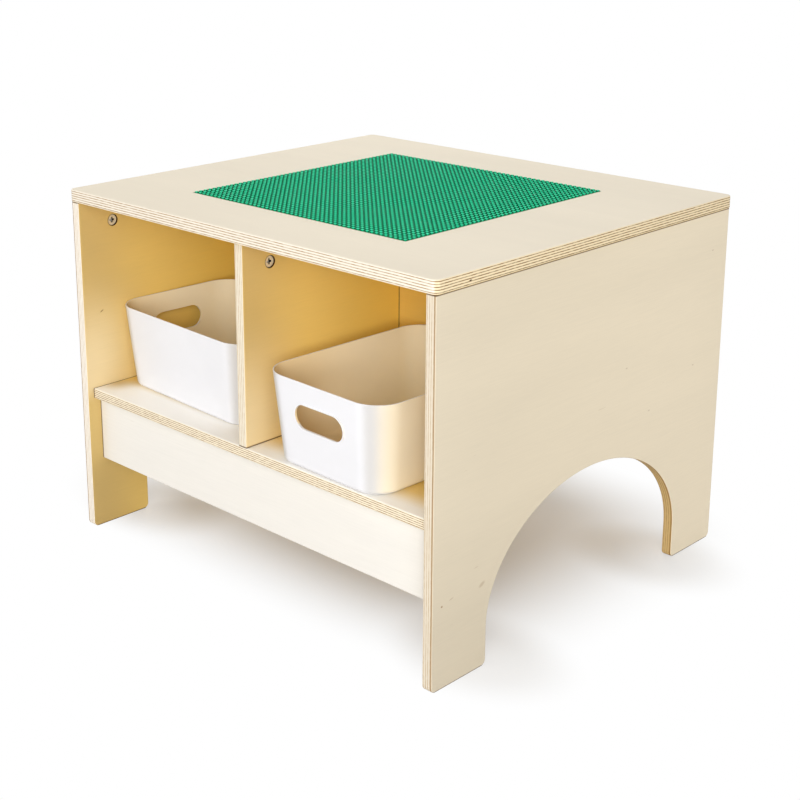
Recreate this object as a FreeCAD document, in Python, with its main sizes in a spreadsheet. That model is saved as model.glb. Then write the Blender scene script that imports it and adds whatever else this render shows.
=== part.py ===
import FreeCAD, Part
import math
import os

# Plywood play table with a studded building plate let into its top, a shelf
# with two storage cubbies on each side of a middle spine, and two loose bins.
# Millimetres. Origin: middle of the footprint on the floor. +Z is up, the
# side with the bins faces -Y and +X is on its right.

SIZES = {
    # Whole table
    "table_width": 685.8,
    "table_depth": 609.6,
    "table_height": 508.0,
    # Table top
    "top_thickness": 18.0,
    "top_corner_radius": 9.0,
    "top_edge_radius": 2.0,
    "top_overhang": 2.5,
    # Plywood boards below the top
    "board_thickness": 15.0,
    "board_edge_radius": 1.5,
    "foot_corner_radius": 8.0,
    "arch_width": 406.0,
    "arch_spring_height": 50.0,
    "shelf_height": 214.4,
    "shelf_setback": 10.0,
    "apron_setback": 21.0,
    "apron_depth": 95.4,
    # Spine between the front and the rear cubbies, held in grooves
    "spine_thickness": 6.0,
    "groove_depth": 5.0,
    "groove_clearance": 0.2,
    # Building plate
    "stud_pitch": 8.0,
    "studs_per_side": 50,
    "stud_diameter": 4.8,
    "stud_height": 1.7,
    "plate_thickness": 2.5,
    "plate_drop": 0.5,
    "plate_clearance": 0.4,
    # Storage bins
    "bin_width": 212.0,
    "bin_height": 120.0,
    "bin_wall": 2.0,
    "bin_draft": 11.0,
    "bin_rim_radius": 40.0,
    "bin_base_radius": 35.0,
    "bin_heel_radius": 7.0,
    "bin_lip_radius": 0.8,
    "slot_length": 86.0,
    "slot_depth": 33.0,
    "slot_drop": 29.5,
    "slot_collar_width": 2.2,
    "slot_collar_depth": 0.8,
    "bin_end_gap": 9.3,
    "bin_side_gap": 13.0,
    "bin_left_panel_gap": 3.0,
    "bin_left_spine_gap": 37.0,
    "bin_left_turn": -3.0,
    "bin_right_divider_gap": 36.0,
    "bin_right_spine_gap": 6.0,
    "bin_right_turn": -2.0,
    # Cam locks and their bolts
    "cam_diameter": 15.0,
    "cam_depth": 10.5,
    "cam_recess": 2.0,
    "cam_inset": 34.0,
    "cam_clearance": 0.6,
    "cam_slot_width": 3.0,
    "cam_slot_length": 8.0,
    "cam_slot_depth": 4.0,
    "top_cam_setback": 57.0,
    "bolt_thread_diameter": 5.0,
    "bolt_thread_length": 11.0,
    "bolt_shank_diameter": 6.0,
    "bolt_neck_diameter": 4.0,
    "bolt_neck_length": 5.0,
    "bolt_head_diameter": 6.6,
    "bolt_head_length": 5.0,
    "bolt_clearance": 0.4,
    # Wooden dowels
    "dowel_diameter": 8.0,
    "dowel_length": 30.0,
    "dowel_grip": 9.5,
    "dowel_clearance": 0.1,
    "dowel_end_clearance": 0.5,
    # Length by which every cutting shape passes the face that it cuts
    "overrun": 5.0,
    # Largest error allowed where an edge is found by its place
    "place_tolerance": 0.001,
}

# Places of the hidden fixings, as shares of the half depth or half width
TOP_DOWEL_SHARE = 0.5
SHELF_CAM_SHARE = 0.66
SHELF_DOWEL_SHARE = 0.4
DIVIDER_DOWEL_SHARES = (0.25, 0.75)
APRON_DOWEL_SHARES = (-0.65, 0.0, 0.65)
APRON_END_SHARE = 0.22

FRONT = -1
REAR = 1
LEFT = -1
RIGHT = 1
X = FreeCAD.Vector(1, 0, 0)
Y = FreeCAD.Vector(0, 1, 0)
Z = FreeCAD.Vector(0, 0, 1)

doc = FreeCAD.newDocument("play_table")
sheet = doc.addObject("Spreadsheet::Sheet", "sizes")
for row, (alias, number) in enumerate(SIZES.items(), start=1):
    sheet.set(f"A{row}", alias)
    sheet.set(f"B{row}", str(number))
    sheet.setAlias(f"B{row}", alias)
doc.recompute()

# Formulas that several pieces share
HALF_WIDTH = "sizes.table_width / 2"
HALF_DEPTH = "sizes.table_depth / 2"
TOP_UNDER = "(sizes.table_height - sizes.top_thickness)"
PANEL_OUT = f"({HALF_WIDTH} - sizes.top_overhang)"
PANEL_IN = f"({PANEL_OUT} - sizes.board_thickness)"
PANEL_EDGE = f"({HALF_DEPTH} - sizes.top_overhang)"
HALF_BOARD = "sizes.board_thickness / 2"
SHELF_UNDER = "(sizes.shelf_height - sizes.board_thickness)"
SHELF_EDGE = f"({PANEL_EDGE} - sizes.shelf_setback)"
SHELF_MIDDLE = f"(sizes.shelf_height - {HALF_BOARD})"
APRON_OUT = f"({PANEL_EDGE} - sizes.apron_setback)"
APRON_IN = f"({APRON_OUT} - sizes.board_thickness)"
APRON_MIDDLE = f"({APRON_OUT} - {HALF_BOARD})"
APRON_LOW = f"({SHELF_UNDER} - sizes.apron_depth)"
SPINE_FACE = "sizes.spine_thickness / 2"
GROOVE_FACE = "(sizes.spine_thickness / 2 + sizes.groove_clearance)"
SPINE_GRIP = "(sizes.groove_depth - sizes.groove_clearance)"
ARCH_HALF = "sizes.arch_width / 2"
PLATE_HALF = "(sizes.stud_pitch * sizes.studs_per_side / 2)"
RECESS_HALF = f"({PLATE_HALF} + sizes.plate_clearance)"
RECESS_DEPTH = "(sizes.plate_thickness + sizes.plate_drop)"
CAM_WELL = "(sizes.cam_recess + sizes.cam_depth)"


def value(formula):
    """Number that a formula of the sheet gives."""
    return float(sheet.evalExpression(formula))


def size(alias):
    """Number in the sheet's cell of this name."""
    return float(sheet.get(alias))


def both(formula):
    """Span from minus to plus a formula."""
    return f"-({formula})", f"({formula})"


def on_side(side, near, far):
    """Span between two distances from the middle, on the minus or plus side."""
    if side > 0:
        return near, far
    return f"-({far})", f"-({near})"


def box(name, x, y, z):
    """Box between a low and a high formula along each axis."""
    item = doc.addObject("Part::Box", name)
    for length, axis, (low, high) in (("Length", "x", x), ("Width", "y", y), ("Height", "z", z)):
        item.setExpression(length, f"({high}) - ({low})")
        item.setExpression(f"Placement.Base.{axis}", low)
    return item


def rod(name, diameter, start, length, along=Z):
    """Cylinder of a diameter from a start point, all three written as formulas."""
    item = doc.addObject("Part::Cylinder", name)
    item.Placement.Rotation = FreeCAD.Rotation(Z, along)
    item.setExpression("Radius", f"({diameter}) / 2")
    item.setExpression("Height", length)
    for axis, formula in zip("xyz", start):
        item.setExpression(f"Placement.Base.{axis}", formula)
    return item


def fused(name, pieces):
    """Union of several objects."""
    item = doc.addObject("Part::MultiFuse", name)
    item.Shapes = pieces
    return item


def cut(name, base, tool):
    """The base with the tool taken away."""
    item = doc.addObject("Part::Cut", name)
    item.Base = base
    item.Tool = tool
    return item


def rounded(name, base, alias, wanted):
    """The base with a fillet on each edge whose bounding box is wanted."""
    doc.recompute()
    item = doc.addObject("Part::Fillet", name)
    item.Base = base
    radius = size(alias)
    item.Edges = [(number, radius, radius)
                  for number, edge in enumerate(base.Shape.Edges, start=1) if wanted(edge.BoundBox)]
    return item


def same(first, second):
    """True where two places are one."""
    return abs(first - second) < size("place_tolerance")



def lies_at(low, high, place):
    """True where an edge lies in the plane at this place."""
    return same(low, place) and same(high, place)


def group(name, shapes):
    """Object that holds separate shapes, such as a set of fasteners."""
    item = doc.addObject("Part::Feature", name)
    item.Shape = Part.makeCompound(shapes)
    return item


def placed(shape, frames):
    """Copy of a shape in each of the frames."""
    copies = []
    for frame in frames:
        copy = shape.copy()
        copy.Placement = frame.multiply(shape.Placement)
        copies.append(copy)
    return copies


def frame_at(place, out, toward):
    """Frame whose Z axis leaves a board's face and whose X axis points at the next board."""
    return FreeCAD.Placement(place, FreeCAD.Rotation(toward, out.cross(toward), out, "ZXY"))


# Places of the fixings. A fixing lies along its frame's X axis and holds the
# board that this axis points at.

def top_cam_frames(owner):
    """Cam locks that hold the top on a side panel or on a divider."""
    height = value(f"{TOP_UNDER} - sizes.cam_inset")
    reach = value(f"{PANEL_EDGE} - sizes.top_cam_setback")
    if owner in ("divider_front", "divider_rear"):
        side = FRONT if owner == "divider_front" else REAR
        place = FreeCAD.Vector(-side * value(HALF_BOARD), side * reach, height)
        return [frame_at(place, X * -side, Z)]
    side = LEFT if owner == "side_panel_left" else RIGHT
    return [frame_at(FreeCAD.Vector(side * value(PANEL_IN), end * reach, height), X * -side, Z)
            for end in (FRONT, REAR)]


def shelf_cam_frames(side):
    """Cam locks under one end of the shelf."""
    across = side * value(f"{PANEL_IN} - sizes.cam_inset")
    reach = SHELF_CAM_SHARE * value(SHELF_EDGE)
    return [frame_at(FreeCAD.Vector(across, end * reach, value(SHELF_UNDER)), Z * -1, X * side)
            for end in (FRONT, REAR)]


def apron_cam_frames(end, side):
    """Cam lock on the hidden face of an apron, at one of its ends."""
    across = side * value(f"{PANEL_IN} - sizes.cam_inset")
    height = value(f"{SHELF_UNDER} - sizes.apron_depth / 2")
    return [frame_at(FreeCAD.Vector(across, end * value(APRON_IN), height), Y * -end, X * side)]


def top_dowel_frames(owner):
    """Dowels between the top and a side panel or a divider."""
    reach = TOP_DOWEL_SHARE * value(SHELF_EDGE)
    height = value(TOP_UNDER)
    if owner in ("divider_front", "divider_rear"):
        side = FRONT if owner == "divider_front" else REAR
        return [frame_at(FreeCAD.Vector(0, side * reach, height), X, Z)]
    side = LEFT if owner == "side_panel_left" else RIGHT
    across = side * value(f"{PANEL_IN} + {HALF_BOARD}")
    return [frame_at(FreeCAD.Vector(across, end * reach, height), X, Z) for end in (FRONT, REAR)]


def shelf_dowel_frames(side):
    """Dowels between one end of the shelf and its side panel."""
    reach = SHELF_DOWEL_SHARE * value(SHELF_EDGE)
    across = side * value(PANEL_IN)
    return [frame_at(FreeCAD.Vector(across, end * reach, value(SHELF_MIDDLE)), Z, X * side)
            for end in (FRONT, REAR)]


def divider_dowel_frames(end):
    """Dowels between a divider and the shelf below it."""
    return [frame_at(FreeCAD.Vector(0, end * share * value(SHELF_EDGE), size("shelf_height")), X, Z * -1)
            for share in DIVIDER_DOWEL_SHARES]


def apron_top_frames(end):
    """Dowels between an apron and the shelf above it."""
    across = [share * value(PANEL_IN) for share in APRON_DOWEL_SHARES]
    return [frame_at(FreeCAD.Vector(x, end * value(APRON_MIDDLE), value(SHELF_UNDER)), X, Z) for x in across]


def apron_end_frames(end, side):
    """Dowel between one end of an apron and its side panel."""
    height = value(f"{APRON_LOW} + {APRON_END_SHARE} * sizes.apron_depth")
    return [frame_at(FreeCAD.Vector(side * value(PANEL_IN), end * value(APRON_MIDDLE), height), Z, X * side)]


# Master shapes of the fixings, in a fixing's own frame

def cam_master():
    """Cam lock: a disc with a cross slot in its face and a channel for the bolt's head."""
    middle = "-" + HALF_BOARD
    channel = "sizes.bolt_head_diameter + sizes.bolt_clearance"
    disc = rod("cam_disc", "sizes.cam_diameter", ("0", "0", f"-{CAM_WELL}"), "sizes.cam_depth")
    slots = [box(f"cam_slot_{name}", both(f"sizes.{along} / 2"), both(f"sizes.{across} / 2"),
                 ("-sizes.cam_recess - sizes.cam_slot_depth", "sizes.overrun"))
             for name, along, across in (("long", "cam_slot_length", "cam_slot_width"),
                                         ("cross", "cam_slot_width", "cam_slot_length"))]
    bore = rod("cam_channel", channel, (f"-({channel}) / 2", "0", middle),
               "sizes.cam_diameter + sizes.overrun", X)
    return cut("cam_master", disc, fused("cam_hollows", slots + [bore]))


def bolt_master():
    """Bolt: a head inside the cam, a neck, a shank and a thread in the next board."""
    middle = "-" + HALF_BOARD
    head_end = "sizes.bolt_head_length / 2"
    neck_end = f"({head_end} + sizes.bolt_neck_length)"
    head = rod("bolt_head", "sizes.bolt_head_diameter", (f"-{head_end}", "0", middle),
               "sizes.bolt_head_length", X)
    neck = rod("bolt_neck", "sizes.bolt_neck_diameter", ("0", "0", middle), neck_end, X)
    shank = rod("bolt_shank", "sizes.bolt_shank_diameter", (neck_end, "0", middle),
                f"sizes.cam_inset - {neck_end}", X)
    thread = rod("bolt_thread", "sizes.bolt_thread_diameter", ("sizes.cam_inset", "0", middle),
                 "sizes.bolt_thread_length", X)
    return fused("bolt_master", [head, neck, shank, thread])


def cam_recess():
    """What is cut from the board that holds a cam: its round recess and the bolt's bore."""
    width = "sizes.cam_diameter + 2 * sizes.cam_clearance"
    well = rod("cam_well", width, ("0", "0", f"-{CAM_WELL}"), f"{CAM_WELL} + sizes.overrun")
    bore = rod("bolt_bore", "sizes.bolt_shank_diameter + sizes.bolt_clearance",
               ("0", "0", "-" + HALF_BOARD), "sizes.cam_inset + sizes.overrun", X)
    return fused("cam_recess", [well, bore])


def thread_hole():
    """What is cut from the board that a bolt is screwed into."""
    reach = "sizes.bolt_thread_length + sizes.dowel_end_clearance"
    return rod("thread_hole", "sizes.bolt_thread_diameter",
               ("sizes.cam_inset - sizes.overrun", "0", "-" + HALF_BOARD), f"{reach} + sizes.overrun", X)


def dowel_master():
    """Dowel that crosses the joint between two boards."""
    return rod("dowel_master", "sizes.dowel_diameter", ("sizes.dowel_grip - sizes.dowel_length", "0", "0"),
               "sizes.dowel_length", X)


def dowel_hole():
    """What is cut from both boards for a dowel."""
    slack = "sizes.dowel_end_clearance"
    return rod("dowel_hole", "sizes.dowel_diameter + 2 * sizes.dowel_clearance",
               (f"sizes.dowel_grip - sizes.dowel_length - {slack}", "0", "0"),
               f"sizes.dowel_length + 2 * {slack}", X)


masters = {"cam": cam_master(), "bolt": bolt_master(), "recess": cam_recess(), "thread": thread_hole(),
           "dowel": dowel_master(), "hole": dowel_hole()}
doc.recompute()


def fittings(name, kinds):
    """Cutting shape with masters of several kinds, each in its own frames."""
    shapes = []
    for kind, frames in kinds.items():
        shapes += placed(masters[kind].Shape, frames)
    return group(name, shapes)


# Boards

def table_top():
    """Top with round corners, a recess for the plate and a groove for the spine."""
    blank = box("top_blank", both(HALF_WIDTH), both(HALF_DEPTH), (TOP_UNDER, "sizes.table_height"))
    corners = rounded("top_corners", blank, "top_corner_radius",
                      lambda edge: same(edge.XMin, edge.XMax) and same(edge.YMin, edge.YMax))
    eased = rounded("top_eased", corners, "top_edge_radius", lambda edge: same(edge.ZMin, edge.ZMax))
    recess = box("plate_recess", both(RECESS_HALF), both(RECESS_HALF),
                 (f"sizes.table_height - {RECESS_DEPTH}", "sizes.table_height + sizes.overrun"))
    groove = box("top_groove", both(f"{PANEL_IN} + sizes.groove_depth"), both(GROOVE_FACE),
                 (f"{TOP_UNDER} - sizes.overrun", f"{TOP_UNDER} + sizes.groove_depth"))
    milled = cut("top_milled", eased, fused("top_hollows", [recess, groove]))
    owners = ("side_panel_left", "side_panel_right", "divider_front", "divider_rear")
    cams = [frame for owner in owners for frame in top_cam_frames(owner)]
    dowels = [frame for owner in owners for frame in top_dowel_frames(owner)]
    return cut("table_top", milled, fittings("top_fittings", {"thread": cams, "hole": dowels}))


def side_panel(name, side):
    """Side panel with an arch between its two feet and a groove for the spine."""
    through = on_side(side, f"{PANEL_IN} - sizes.overrun", f"{PANEL_OUT} + sizes.overrun")
    blank = box(f"{name}_blank", on_side(side, PANEL_IN, PANEL_OUT), both(PANEL_EDGE), ("0", TOP_UNDER))
    legs = box(f"{name}_arch_legs", through, both(ARCH_HALF), ("-sizes.overrun", "sizes.arch_spring_height"))
    curve = doc.addObject("Part::Ellipse", f"{name}_arch_curve")
    curve.setExpression("MajorRadius", ARCH_HALF)
    curve.setExpression("MinorRadius", f"{SHELF_UNDER} - sizes.arch_spring_height")
    curve.Placement.Rotation = FreeCAD.Rotation(X + Y + Z, 120)
    curve.setExpression("Placement.Base.x", through[0])
    curve.setExpression("Placement.Base.z", "sizes.arch_spring_height")
    crown = doc.addObject("Part::Extrusion", f"{name}_arch_crown")
    crown.Base = curve
    crown.DirMode = "Normal"
    crown.Solid = True
    crown.setExpression("LengthFwd", f"({through[1]}) - ({through[0]})")
    arched = cut(f"{name}_arched", blank, fused(f"{name}_arch", [legs, crown]))
    feet = rounded(f"{name}_feet", arched, "foot_corner_radius",
                   lambda edge: lies_at(edge.ZMin, edge.ZMax, 0) and same(edge.YMin, edge.YMax))
    top = value(TOP_UNDER)
    eased = rounded(f"{name}_eased", feet, "board_edge_radius",
                    lambda edge: same(edge.XMin, edge.XMax) and not lies_at(edge.ZMin, edge.ZMax, top))
    groove = box(f"{name}_groove",
                 on_side(side, f"{PANEL_IN} - sizes.overrun", f"{PANEL_IN} + sizes.groove_depth"),
                 both(GROOVE_FACE),
                 ("sizes.shelf_height - sizes.groove_depth", f"{TOP_UNDER} + sizes.overrun"))
    grooved = cut(f"{name}_grooved", eased, groove)
    apron_cams = [frame for end in (FRONT, REAR) for frame in apron_cam_frames(end, side)]
    apron_dowels = [frame for end in (FRONT, REAR) for frame in apron_end_frames(end, side)]
    holes = fittings(f"{name}_fittings", {
        "recess": top_cam_frames(name),
        "thread": shelf_cam_frames(side) + apron_cams,
        "hole": top_dowel_frames(name) + shelf_dowel_frames(side) + apron_dowels})
    return cut(name, grooved, holes)


def shelf():
    """Full-depth shelf that carries the bins, the dividers and the spine."""
    blank = box("shelf_blank", both(PANEL_IN), both(SHELF_EDGE), (SHELF_UNDER, "sizes.shelf_height"))
    eased = rounded("shelf_eased", blank, "board_edge_radius",
                    lambda edge: same(edge.YMin, edge.YMax) and same(edge.ZMin, edge.ZMax))
    groove = box("shelf_groove", both(f"{PANEL_IN} + sizes.overrun"), both(GROOVE_FACE),
                 ("sizes.shelf_height - sizes.groove_depth", "sizes.shelf_height + sizes.overrun"))
    grooved = cut("shelf_grooved", eased, groove)
    cams = [frame for side in (LEFT, RIGHT) for frame in shelf_cam_frames(side)]
    dowels = [frame for side in (LEFT, RIGHT) for frame in shelf_dowel_frames(side)]
    for end in (FRONT, REAR):
        dowels += divider_dowel_frames(end) + apron_top_frames(end)
    return cut("shelf", grooved, fittings("shelf_fittings", {"recess": cams, "hole": dowels}))


def spine_panel():
    """Thin panel between the front and the rear cubbies."""
    return box("spine_panel", both(f"{PANEL_IN} + {SPINE_GRIP}"), both(SPINE_FACE),
               (f"sizes.shelf_height - {SPINE_GRIP}", f"{TOP_UNDER} + {SPINE_GRIP}"))


def divider(name, end):
    """Upright board between two cubbies."""
    blank = box(f"{name}_blank", both(HALF_BOARD), on_side(end, SPINE_FACE, SHELF_EDGE),
                ("sizes.shelf_height", TOP_UNDER))
    edge_place = end * value(SHELF_EDGE)
    eased = rounded(f"{name}_eased", blank, "board_edge_radius",
                    lambda edge: lies_at(edge.YMin, edge.YMax, edge_place) and same(edge.XMin, edge.XMax))
    holes = fittings(f"{name}_fittings", {"recess": top_cam_frames(name),
                                          "hole": top_dowel_frames(name) + divider_dowel_frames(end)})
    return cut(name, eased, holes)


def apron(name, end):
    """Rail below one edge of the shelf."""
    blank = box(f"{name}_blank", both(PANEL_IN), on_side(end, APRON_IN, APRON_OUT), (APRON_LOW, SHELF_UNDER))
    low = value(APRON_LOW)
    eased = rounded(f"{name}_eased", blank, "board_edge_radius",
                    lambda edge: lies_at(edge.ZMin, edge.ZMax, low) and same(edge.YMin, edge.YMax))
    cams = [frame for side in (LEFT, RIGHT) for frame in apron_cam_frames(end, side)]
    dowels = apron_top_frames(end)
    for side in (LEFT, RIGHT):
        dowels += apron_end_frames(end, side)
    return cut(name, eased, fittings(f"{name}_fittings", {"recess": cams, "hole": dowels}))


# Building plate

def facing(face, normal):
    """The face, turned so that its normal points the given way."""
    if face.normalAt(0, 0).dot(normal) < 0:
        face.reverse()
    return face


def plate_walls(low, high, half, row_lines, end_lines):
    """Underside and the four narrow sides of the plate, below lines that its deck shares."""
    corners = [FreeCAD.Vector(x * half, y * half, low) for x, y in ((-1, -1), (1, -1), (1, 1), (-1, 1))]
    foot = [Part.makeLine(corners[k], corners[(k + 1) % len(corners)]) for k in range(len(corners))]
    posts = [Part.makeLine(corner, FreeCAD.Vector(corner.x, corner.y, high)) for corner in corners]
    heads = ([row_lines[0]], end_lines[RIGHT][::-1], [row_lines[-1]], end_lines[LEFT])
    faces = [facing(Part.Face(Part.Wire(foot)), Z * -1)]
    for k, out in enumerate((Y * -1, X, Y, X * -1)):
        following = posts[(k + 1) % len(posts)]
        faces.append(facing(Part.Face(Part.Wire([foot[k], following] + heads[k] + [posts[k]])), out))
    return faces


def stud_faces(middle):
    """Round side and flat head of one stud, and the hole that its foot makes in the deck."""
    foot = Part.Edge(Part.Circle(middle, Z, size("stud_diameter") / 2))
    hole = Part.Wire([foot])
    hole.reverse()
    side = foot.extrude(Z * size("stud_height"))
    if side.normalAt(0, 0).dot(side.valueAt(0, 0) - middle) < 0:
        side.reverse()
    head_height = middle.z + size("stud_height")
    rim = [edge for edge in side.Edges if lies_at(edge.BoundBox.ZMin, edge.BoundBox.ZMax, head_height)]
    return [side, facing(Part.Face(Part.Wire(rim)), Z)], hole


def stud_plate():
    """Plate and studs in one moulding. The deck is laid in strips, one for each row of studs."""
    pitch = size("stud_pitch")
    count = int(size("studs_per_side"))
    half = value(PLATE_HALF)
    high = value("sizes.table_height - sizes.plate_drop")
    lines = [k * pitch - half for k in range(count + 1)]
    row_lines = [Part.makeLine(FreeCAD.Vector(-half, y, high), FreeCAD.Vector(half, y, high)) for y in lines]
    end_lines = {side: [Part.makeLine(FreeCAD.Vector(side * half, lines[k], high),
                                      FreeCAD.Vector(side * half, lines[k + 1], high)) for k in range(count)]
                 for side in (LEFT, RIGHT)}
    faces = plate_walls(high - size("plate_thickness"), high, half, row_lines, end_lines)
    for k in range(count):
        border = [row_lines[k], end_lines[RIGHT][k], row_lines[k + 1], end_lines[LEFT][k]]
        strip = Part.Face(Part.Wire(border))
        holes = []
        for column in range(count):
            middle = FreeCAD.Vector(lines[column] + pitch / 2, lines[k] + pitch / 2, high)
            stud, hole = stud_faces(middle)
            faces += stud
            holes.append(hole)
        strip.cutHoles(holes)
        faces.append(facing(strip, Z))
    item = doc.addObject("Part::Feature", "stud_plate")
    item.Shape = Part.Solid(Part.Shell(faces))
    return item


# Storage bins

def outline(name, length, width, radius, height):
    """Rectangle with round corners, long side along X."""
    half = FreeCAD.Vector(length / 2, width / 2, 0)
    slant = radius * math.sqrt(0.5)
    edges = []
    ends = []
    for x, y in ((1, -1), (1, 1), (-1, 1), (-1, -1)):
        middle = FreeCAD.Vector(x * (half.x - radius), y * (half.y - radius), height)
        first, last = (X * x, Y * y) if x == y else (Y * y, X * x)
        start, finish = middle + first * radius, middle + last * radius
        edges.append(Part.Arc(start, middle + FreeCAD.Vector(x * slant, y * slant, 0), finish).toShape())
        ends.append((start, finish))
    for k, (start, finish) in enumerate(ends):
        edges.insert(2 * k + 1, Part.makeLine(finish, ends[(k + 1) % len(ends)][0]))
    item = doc.addObject("Part::Feature", name)
    item.Shape = Part.Wire(edges)
    return item


def tub(name, inset, floor):
    """Solid between the base and the rim of a bin, drawn in by an inset all round."""
    length = bin_length() - 2 * inset
    width = size("bin_width") - 2 * inset
    draft = size("bin_draft") * (size("bin_height") - floor) / size("bin_height")
    base = outline(f"{name}_base", length - 2 * draft, width - 2 * draft, size("bin_base_radius") - inset,
                   floor)
    rim = outline(f"{name}_rim", length, width, size("bin_rim_radius") - inset, size("bin_height"))
    item = doc.addObject("Part::Loft", name)
    item.Sections = [base, rim]
    item.Solid = True
    item.Ruled = True
    return item


def bin_length():
    """Length that fits both the depth and the width of a cubby."""
    deep = value(f"{PANEL_EDGE} - {SPINE_FACE} - sizes.bin_end_gap")
    wide = value(f"{PANEL_IN} - {HALF_BOARD} - 2 * sizes.bin_side_gap")
    return min(deep, wide)


def slot_shape(name, margin):
    """Bar of slot section, larger by a margin, that passes both ends of a bin."""
    tall = f"(sizes.slot_depth + 2 * {margin})"
    run = "(sizes.slot_length - sizes.slot_depth)"
    middle = "(sizes.bin_height - sizes.slot_drop - sizes.slot_depth / 2)"
    reach = f"({bin_length()} / 2 + sizes.overrun)"
    bar = box(f"{name}_bar", both(reach), both(f"{run} / 2"),
              (f"{middle} - {tall} / 2", f"{middle} + {tall} / 2"))
    ends = [rod(f"{name}_end_{k}", tall, (f"-{reach}", f"{k} * {run} / 2", middle), f"2 * {reach}", X)
            for k in (-1, 1)]
    return fused(name, [bar] + ends)


def storage_bin(name, long_axis_turn, turn, place):
    """Bin with a handle slot in each short end, turned on the shelf at its place."""
    outer = rounded(f"{name}_outer", tub(f"{name}_outer_blank", 0, 0), "bin_heel_radius",
                    lambda edge: lies_at(edge.ZMin, edge.ZMax, 0))
    wall = size("bin_wall")
    inner = rounded(f"{name}_inner", tub(f"{name}_inner_blank", wall, wall), "bin_heel_radius",
                    lambda edge: lies_at(edge.ZMin, edge.ZMax, wall))
    collar = doc.addObject("Part::Common", f"{name}_collar")
    collar.Base = slot_shape(f"{name}_collar_bar", "sizes.slot_collar_width")
    collar.Tool = tub(f"{name}_collar_blank", -size("slot_collar_depth"), 0)
    shell = cut(f"{name}_shell", fused(f"{name}_solid", [outer, collar]), inner)
    lip = rounded(f"{name}_lip", shell, "bin_lip_radius",
                  lambda edge: lies_at(edge.ZMin, edge.ZMax, size("bin_height")))
    item = cut(name, lip, slot_shape(f"{name}_slot", "0"))
    item.Placement = FreeCAD.Placement(place, FreeCAD.Rotation(Z, long_axis_turn + turn))
    return item


def turned_span(along, across, turn):
    """Width that a rim with round corners takes up along an axis when it is turned."""
    radius = size("bin_rim_radius")
    angle = math.radians(abs(turn))
    return (along - 2 * radius) * math.cos(angle) + (across - 2 * radius) * math.sin(angle) + 2 * radius


def left_bin():
    """Bin that stands across the left cubby, a long side to the front."""
    turn = size("bin_left_turn")
    across = turned_span(bin_length(), size("bin_width"), turn)
    deep = turned_span(size("bin_width"), bin_length(), turn)
    place = FreeCAD.Vector(-value(f"{PANEL_IN} - sizes.bin_left_panel_gap") + across / 2,
                           -value(f"{SPINE_FACE} + sizes.bin_left_spine_gap") - deep / 2,
                           size("shelf_height"))
    return storage_bin("bin_left", 0, turn, place)


def right_bin():
    """Bin that stands lengthwise in the right cubby, a handle to the front."""
    turn = size("bin_right_turn")
    across = turned_span(size("bin_width"), bin_length(), turn)
    deep = turned_span(bin_length(), size("bin_width"), turn)
    place = FreeCAD.Vector(value(f"{HALF_BOARD} + sizes.bin_right_divider_gap") + across / 2,
                           -value(f"{SPINE_FACE} + sizes.bin_right_spine_gap") - deep / 2,
                           size("shelf_height"))
    return storage_bin("bin_right", 90, turn, place)


# Sets of fasteners

def fastener_sets():
    """Cam locks, bolts and dowels, one object for each set."""
    owners = ("side_panel_left", "side_panel_right", "divider_front", "divider_rear")
    sides = (LEFT, RIGHT)
    ends = (FRONT, REAR)
    cams = {"top": [frame for owner in owners for frame in top_cam_frames(owner)],
            "shelf": [frame for side in sides for frame in shelf_cam_frames(side)],
            "apron": [frame for end in ends for side in sides for frame in apron_cam_frames(end, side)]}
    dowels = {"top": [frame for owner in owners for frame in top_dowel_frames(owner)],
              "shelf": [frame for side in sides for frame in shelf_dowel_frames(side)],
              "divider": [frame for end in ends for frame in divider_dowel_frames(end)],
              "apron": [frame for end in ends for frame in apron_top_frames(end)]}
    dowels["apron"] += [frame for end in ends for side in sides for frame in apron_end_frames(end, side)]
    sets = []
    for name, frames in cams.items():
        sets.append(group(f"{name}_cam_locks", placed(masters["cam"].Shape, frames)))
        sets.append(group(f"{name}_cam_bolts", placed(masters["bolt"].Shape, frames)))
    for name, frames in dowels.items():
        sets.append(group(f"{name}_dowels", placed(masters["dowel"].Shape, frames)))
    return sets


nodes = [table_top(), stud_plate(),
         side_panel("side_panel_left", LEFT), side_panel("side_panel_right", RIGHT), shelf(), spine_panel(),
         divider("divider_front", FRONT), divider("divider_rear", REAR),
         apron("front_apron", FRONT), apron("rear_apron", REAR), left_bin(), right_bin()]
nodes += fastener_sets()
doc.recompute()

for item in doc.Objects:
    if "Invalid" in item.State or "Error" in item.State:
        raise RuntimeError(f"{item.Label} has state {item.State}")
for node in nodes:
    if node.Shape.isNull() or not node.Shape.isValid() or not node.Shape.Solids:
        raise RuntimeError(f"{node.Label} has no valid solid")

os.makedirs("parts", exist_ok=True)
for node in nodes:
    node.Shape.exportStep(f"parts/{node.Label}.step")
    print(node.Label, len(node.Shape.Solids), "solids", round(node.Shape.Volume), "mm3")
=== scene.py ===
import math

import bpy
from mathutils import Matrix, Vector

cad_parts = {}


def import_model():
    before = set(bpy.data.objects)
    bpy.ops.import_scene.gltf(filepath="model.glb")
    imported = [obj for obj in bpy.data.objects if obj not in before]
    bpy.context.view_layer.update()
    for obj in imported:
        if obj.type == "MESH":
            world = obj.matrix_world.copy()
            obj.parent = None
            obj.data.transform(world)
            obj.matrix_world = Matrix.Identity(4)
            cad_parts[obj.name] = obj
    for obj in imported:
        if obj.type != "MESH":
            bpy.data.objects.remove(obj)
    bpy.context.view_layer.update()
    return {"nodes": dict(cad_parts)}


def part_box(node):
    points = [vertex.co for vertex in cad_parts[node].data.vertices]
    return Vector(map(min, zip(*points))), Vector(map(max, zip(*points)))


# Looks of the plywood play table. Metres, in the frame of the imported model:
# +Z is up, the side with the bins faces -Y and +X is on its right.

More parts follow.
